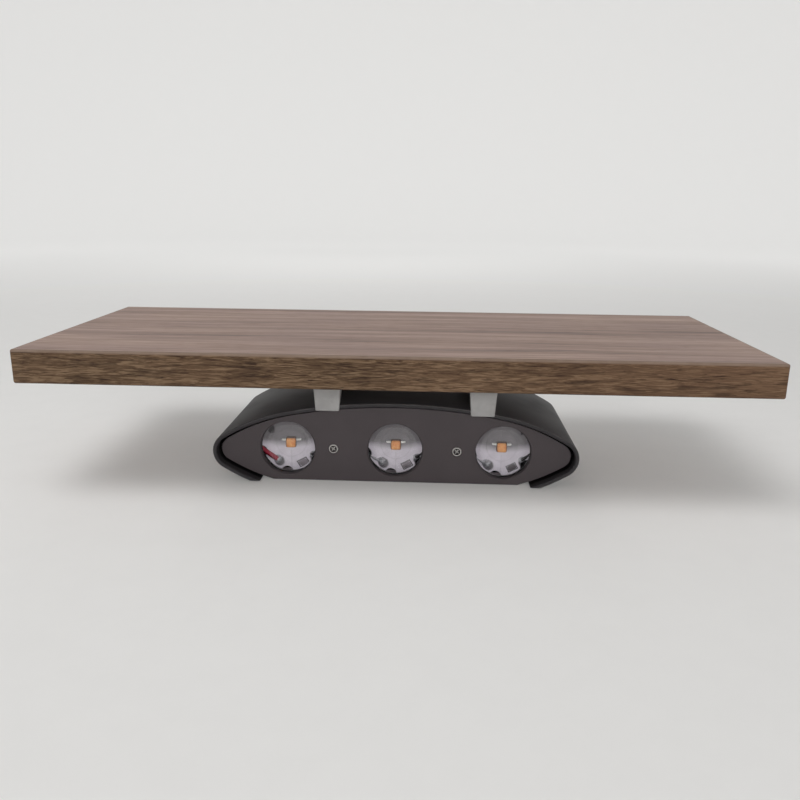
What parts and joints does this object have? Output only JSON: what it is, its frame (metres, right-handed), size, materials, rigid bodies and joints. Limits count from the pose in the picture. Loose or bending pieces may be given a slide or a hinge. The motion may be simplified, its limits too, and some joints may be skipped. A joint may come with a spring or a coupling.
{
  "type": "wall lamp",
  "caption": "Wall lamp with an oval metal shell that shines up and down through round lenses, behind a flat wood-grain panel held on clips.",
  "frame": {"origin": "on the wall face, at the middle of the panel", "axes": "+X along the panel, +Y up the wall, +Z out from the wall"},
  "size_m": [0.35, 0.14, 0.073],
  "materials": {
    "panel_board": "matt wood-grain laminate",
    "edge_band": "matt wood-grain edge band",
    "shell_paint": "fine matt dark grey powder coat",
    "screw_black": "black zinc plated",
    "screw_steel": "zinc plated",
    "lens_clear": "clear, polished",
    "seal_rubber": "matt",
    "holder_black": "matt",
    "star_white": "white solder mask",
    "emitter_amber": "amber phosphor under clear resin",
    "rail_aluminium": "dark anodised",
    "bracket_zinc": "zinc plated sheet",
    "driver_white": "moulded",
    "clamp_brass": "plain",
    "lead_red": "smooth sleeve",
    "lead_black": "smooth sleeve",
    "lead_brown": "smooth sleeve",
    "lead_blue": "smooth sleeve",
    "clip_white": "moulded"
  },
  "bodies": {
    "root": {"panel_core": "panel_board", "edge_band_front": "edge_band", "edge_band_rear": "edge_band", "edge_band_left": "edge_band", "edge_band_right": "edge_band", "housing_shell": "shell_paint", "lower_end_plate": "shell_paint", "upper_end_plate": "shell_paint", "end_plate_screws": "screw_black", "bracket_screws": "screw_steel", "clip_screws": "screw_steel", "lower_lens_left": "lens_clear", "lower_lens_middle": "lens_clear", "lower_lens_right": "lens_clear", "upper_lens_left": "lens_clear", "upper_lens_middle": "lens_clear", "upper_lens_right": "lens_clear", "lower_lens_seal_left": "seal_rubber", "lower_lens_seal_middle": "seal_rubber", "lower_lens_seal_right": "seal_rubber", "upper_lens_seal_left": "seal_rubber", "upper_lens_seal_middle": "seal_rubber", "upper_lens_seal_right": "seal_rubber", "cable_bushing": "seal_rubber", "lower_lens_holder_left": "holder_black", "lower_lens_holder_middle": "holder_black", "lower_lens_holder_right": "holder_black", "upper_lens_holder_left": "holder_black", "upper_lens_holder_middle": "holder_black", "upper_lens_holder_right": "holder_black", "lower_star_board_left": "star_white", "lower_star_board_middle": "star_white", "lower_star_board_right": "star_white", "upper_star_board_left": "star_white", "upper_star_board_middle": "star_white", "upper_star_board_right": "star_white", "lower_led_emitter_left": "emitter_amber", "lower_led_emitter_middle": "emitter_amber", "lower_led_emitter_right": "emitter_amber", "upper_led_emitter_left": "emitter_amber", "upper_led_emitter_middle": "emitter_amber", "upper_led_emitter_right": "emitter_amber", "lower_led_rail": "rail_aluminium", "upper_led_rail": "rail_aluminium", "wall_bracket": "bracket_zinc", "driver_case": "driver_white", "driver_lid": "driver_white", "terminal_block": "driver_white", "terminal_screws": "clamp_brass", "red_leads": "lead_red", "black_leads": "lead_black", "jumper_leads": "lead_black", "live_lead": "lead_brown", "neutral_lead": "lead_blue", "lower_clip_left": "clip_white", "lower_clip_right": "clip_white", "upper_clip_left": "clip_white", "upper_clip_right": "clip_white"}
  },
  "joints": []
}
